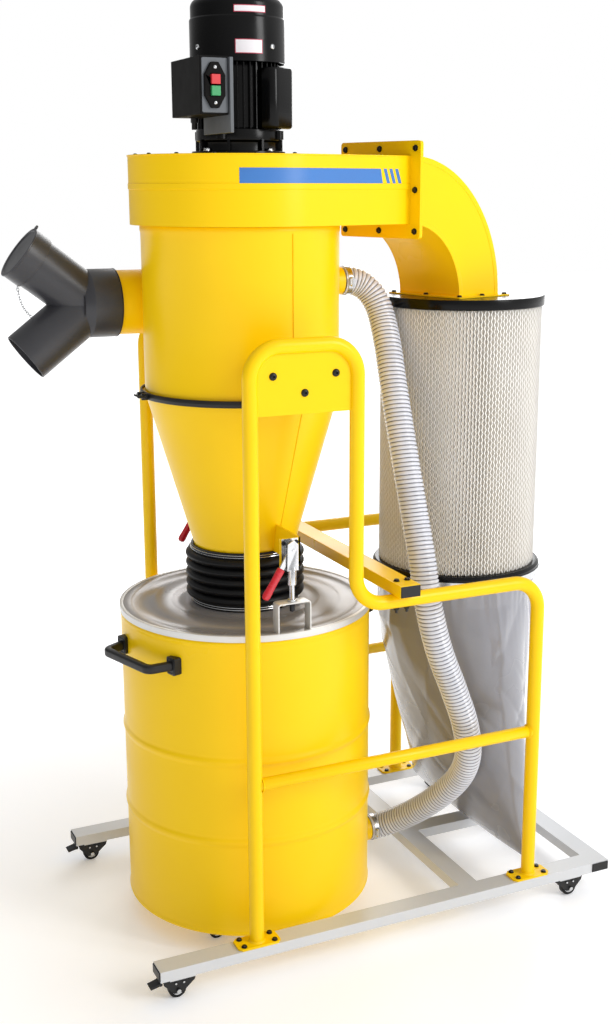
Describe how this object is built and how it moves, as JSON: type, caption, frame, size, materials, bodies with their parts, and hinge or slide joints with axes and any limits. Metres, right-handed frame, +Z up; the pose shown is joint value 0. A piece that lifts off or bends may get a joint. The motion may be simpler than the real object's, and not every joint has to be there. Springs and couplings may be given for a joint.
{
  "type": "dust collector",
  "caption": "Workshop cyclone dust collector: fan and motor over a cyclone and roll-out drum, with a filter cartridge and bag, on a castor base.",
  "frame": {"origin": "middle of the object's base, on the floor", "axes": "+Z up, +X from the cyclone towards the filter, -Y the front with the switch"},
  "size_m": [1.305, 0.757, 2.092],
  "materials": {
    "yellow_enamel": "glossy powder coat",
    "base_paint": "satin silver-grey paint",
    "lid_paint": "satin grey paint",
    "galvanised": "galvanised sheet",
    "black_plastic": "moulded, fine grain",
    "castor_black": "moulded",
    "castor_tyre": "solid tyre on a grey hub",
    "black_enamel": "gloss black paint",
    "rubber": "moulded rubber",
    "cast_aluminium": "as cast",
    "zinc": "bright zinc plate",
    "red_vinyl": "dipped vinyl",
    "filter_paper": "pleated polyester felt behind expanded mesh",
    "bag_film": "grey polythene film",
    "hose_plastic": "translucent plastic with a wire helix",
    "stop_red": "moulded",
    "start_green": "moulded"
  },
  "bodies": {
    "root": {"base_frame": "base_paint", "front_side_frame": "yellow_enamel", "rear_side_frame": "yellow_enamel", "cross_beam": "yellow_enamel", "cyclone_barrel": "yellow_enamel", "vortex_tube": "galvanised", "cyclone_cone": "yellow_enamel", "band_clamp": "black_enamel", "inlet_wye": "black_plastic", "bellows": "rubber", "toggle_base_front": "zinc", "toggle_base_rear": "zinc", "fan_housing": "yellow_enamel", "fan_cover": "yellow_enamel", "elbow_duct": "yellow_enamel", "motor_housing": "black_enamel", "fan_cowl": "black_enamel", "capacitor_cover": "black_enamel", "switch_box": "black_enamel", "cable_gland": "black_plastic", "filter_top_cap": "black_enamel", "filter_element": "filter_paper", "filter_bottom_ring": "black_enamel", "dust_bag": "bag_film", "bag_strap": "zinc", "balance_hose": "hose_plastic"},
    "fork_front_left": {"castor_fork_front_left": "castor_black"},
    "wheel_front_left": {"castor_wheel_front_left": "castor_tyre"},
    "fork_front_right": {"castor_fork_front_right": "castor_black"},
    "wheel_front_right": {"castor_wheel_front_right": "castor_tyre"},
    "fork_rear_left": {"castor_fork_rear_left": "castor_black"},
    "wheel_rear_left": {"castor_wheel_rear_left": "castor_tyre"},
    "fork_rear_right": {"castor_fork_rear_right": "castor_black"},
    "wheel_rear_right": {"castor_wheel_rear_right": "castor_tyre"},
    "brake_front_left": {"brake_pedal_front_left": "castor_black"},
    "brake_rear_left": {"brake_pedal_rear_left": "castor_black"},
    "drum": {"drum_body": "yellow_enamel", "drum_handle_left": "black_plastic", "drum_handle_right": "black_plastic"},
    "drum_fork_front_left": {"castor_fork_drum_front_left": "castor_black"},
    "drum_wheel_front_left": {"castor_wheel_drum_front_left": "castor_tyre"},
    "drum_fork_front_right": {"castor_fork_drum_front_right": "castor_black"},
    "drum_wheel_front_right": {"castor_wheel_drum_front_right": "castor_tyre"},
    "drum_fork_rear_left": {"castor_fork_drum_rear_left": "castor_black"},
    "drum_wheel_rear_left": {"castor_wheel_drum_rear_left": "castor_tyre"},
    "drum_fork_rear_right": {"castor_fork_drum_rear_right": "castor_black"},
    "drum_wheel_rear_right": {"castor_wheel_drum_rear_right": "castor_tyre"},
    "lid": {"drum_lid": "lid_paint", "lid_gasket": "rubber", "toggle_plunger_front": "zinc", "toggle_plunger_rear": "zinc"},
    "toggle_front": {"toggle_lever_front": "red_vinyl"},
    "toggle_rear": {"toggle_lever_rear": "red_vinyl"},
    "stop": {"stop_button": "stop_red"},
    "start": {"start_button": "start_green"},
    "cap": {"inlet_cap": "black_plastic"},
    "rotor": {"impeller": "cast_aluminium", "motor_rotor": "cast_aluminium"}
  },
  "joints": [
    {"name": "castor_swivel_front_left", "type": "hinge", "parent": "root", "child": "fork_front_left", "pos_m": [-0.45748, -0.3385, 0.05], "axis": [0, 0, 1], "continuous": true},
    {"name": "castor_roll_front_left", "type": "hinge", "parent": "fork_front_left", "child": "wheel_front_left", "pos_m": [-0.46548, -0.3385, 0.02], "axis": [0, 1, 0], "continuous": true},
    {"name": "castor_swivel_front_right", "type": "hinge", "parent": "root", "child": "fork_front_right", "pos_m": [0.54252, -0.3385, 0.05], "axis": [0, 0, 1], "continuous": true},
    {"name": "castor_roll_front_right", "type": "hinge", "parent": "fork_front_right", "child": "wheel_front_right", "pos_m": [0.55052, -0.3385, 0.02], "axis": [0, 1, 0], "continuous": true},
    {"name": "castor_swivel_rear_left", "type": "hinge", "parent": "root", "child": "fork_rear_left", "pos_m": [-0.45748, 0.3385, 0.05], "axis": [0, 0, 1], "continuous": true},
    {"name": "castor_roll_rear_left", "type": "hinge", "parent": "fork_rear_left", "child": "wheel_rear_left", "pos_m": [-0.46548, 0.3385, 0.02], "axis": [0, 1, 0], "continuous": true},
    {"name": "castor_swivel_rear_right", "type": "hinge", "parent": "root", "child": "fork_rear_right", "pos_m": [0.54252, 0.3385, 0.05], "axis": [0, 0, 1], "continuous": true},
    {"name": "castor_roll_rear_right", "type": "hinge", "parent": "fork_rear_right", "child": "wheel_rear_right", "pos_m": [0.55052, 0.3385, 0.02], "axis": [0, 1, 0], "continuous": true},
    {"name": "brake_press_front_left", "type": "hinge", "parent": "fork_front_left", "child": "brake_front_left", "pos_m": [-0.50448, -0.3385, 0.043], "axis": [0, 1, 0], "range_deg": [-15, 0]},
    {"name": "brake_press_rear_left", "type": "hinge", "parent": "fork_rear_left", "child": "brake_rear_left", "pos_m": [-0.50448, 0.3385, 0.043], "axis": [0, 1, 0], "range_deg": [-15, 0]},
    {"name": "drum_roll_out", "type": "slide", "parent": "root", "child": "drum", "axis": [-1, 0, 0], "range_m": [0, 0.35]},
    {"name": "drum_castor_swivel_front_left", "type": "hinge", "parent": "drum", "child": "drum_fork_front_left", "pos_m": [-0.31248, -0.155, 0.047], "axis": [0, 0, 1], "continuous": true},
    {"name": "drum_castor_roll_front_left", "type": "hinge", "parent": "drum_fork_front_left", "child": "drum_wheel_front_left", "pos_m": [-0.30448, -0.155, 0.018], "axis": [0, 1, 0], "continuous": true},
    {"name": "drum_castor_swivel_front_right", "type": "hinge", "parent": "drum", "child": "drum_fork_front_right", "pos_m": [-0.00248, -0.155, 0.047], "axis": [0, 0, 1], "continuous": true},
    {"name": "drum_castor_roll_front_right", "type": "hinge", "parent": "drum_fork_front_right", "child": "drum_wheel_front_right", "pos_m": [0.00552, -0.155, 0.018], "axis": [0, 1, 0], "continuous": true},
    {"name": "drum_castor_swivel_rear_left", "type": "hinge", "parent": "drum", "child": "drum_fork_rear_left", "pos_m": [-0.31248, 0.155, 0.047], "axis": [0, 0, 1], "continuous": true},
    {"name": "drum_castor_roll_rear_left", "type": "hinge", "parent": "drum_fork_rear_left", "child": "drum_wheel_rear_left", "pos_m": [-0.30448, 0.155, 0.018], "axis": [0, 1, 0], "continuous": true},
    {"name": "drum_castor_swivel_rear_right", "type": "hinge", "parent": "drum", "child": "drum_fork_rear_right", "pos_m": [-0.00248, 0.155, 0.047], "axis": [0, 0, 1], "continuous": true},
    {"name": "drum_castor_roll_rear_right", "type": "hinge", "parent": "drum_fork_rear_right", "child": "drum_wheel_rear_right", "pos_m": [0.00552, 0.155, 0.018], "axis": [0, 1, 0], "continuous": true},
    {"name": "lid_lift", "type": "slide", "parent": "root", "child": "lid", "axis": [0, 0, 1], "range_m": [0, 0.03], "deforming": ["bellows"]},
    {"name": "toggle_swing_front", "type": "hinge", "parent": "root", "child": "toggle_front", "pos_m": [-0.15748, -0.27, 0.945], "axis": [0, 1, 0], "range_deg": [0, 100]},
    {"name": "toggle_swing_rear", "type": "hinge", "parent": "root", "child": "toggle_rear", "pos_m": [-0.15748, 0.27, 0.945], "axis": [0, 1, 0], "range_deg": [0, 100]},
    {"name": "stop_press", "type": "slide", "parent": "root", "child": "stop", "axis": [0, 1, 0], "range_m": [0, 0.004], "stiffness_N_per_m": 300},
    {"name": "start_press", "type": "slide", "parent": "root", "child": "start", "axis": [0, 1, 0], "range_m": [0, 0.004], "stiffness_N_per_m": 300},
    {"name": "cap_pull_off", "type": "slide", "parent": "root", "child": "cap", "axis": [-0.7934, 0, 0.6088], "range_m": [0, 0.06]},
    {"name": "rotor_spin", "type": "hinge", "parent": "root", "child": "rotor", "pos_m": [-0.15748, 0, 1.8], "axis": [0, 0, 1], "continuous": true}
  ],
  "couplings": [
    {"joint": "toggle_swing_front", "follows": "lid_lift", "rad_per_m": 58},
    {"joint": "toggle_swing_rear", "follows": "lid_lift", "rad_per_m": 58}
  ]
}
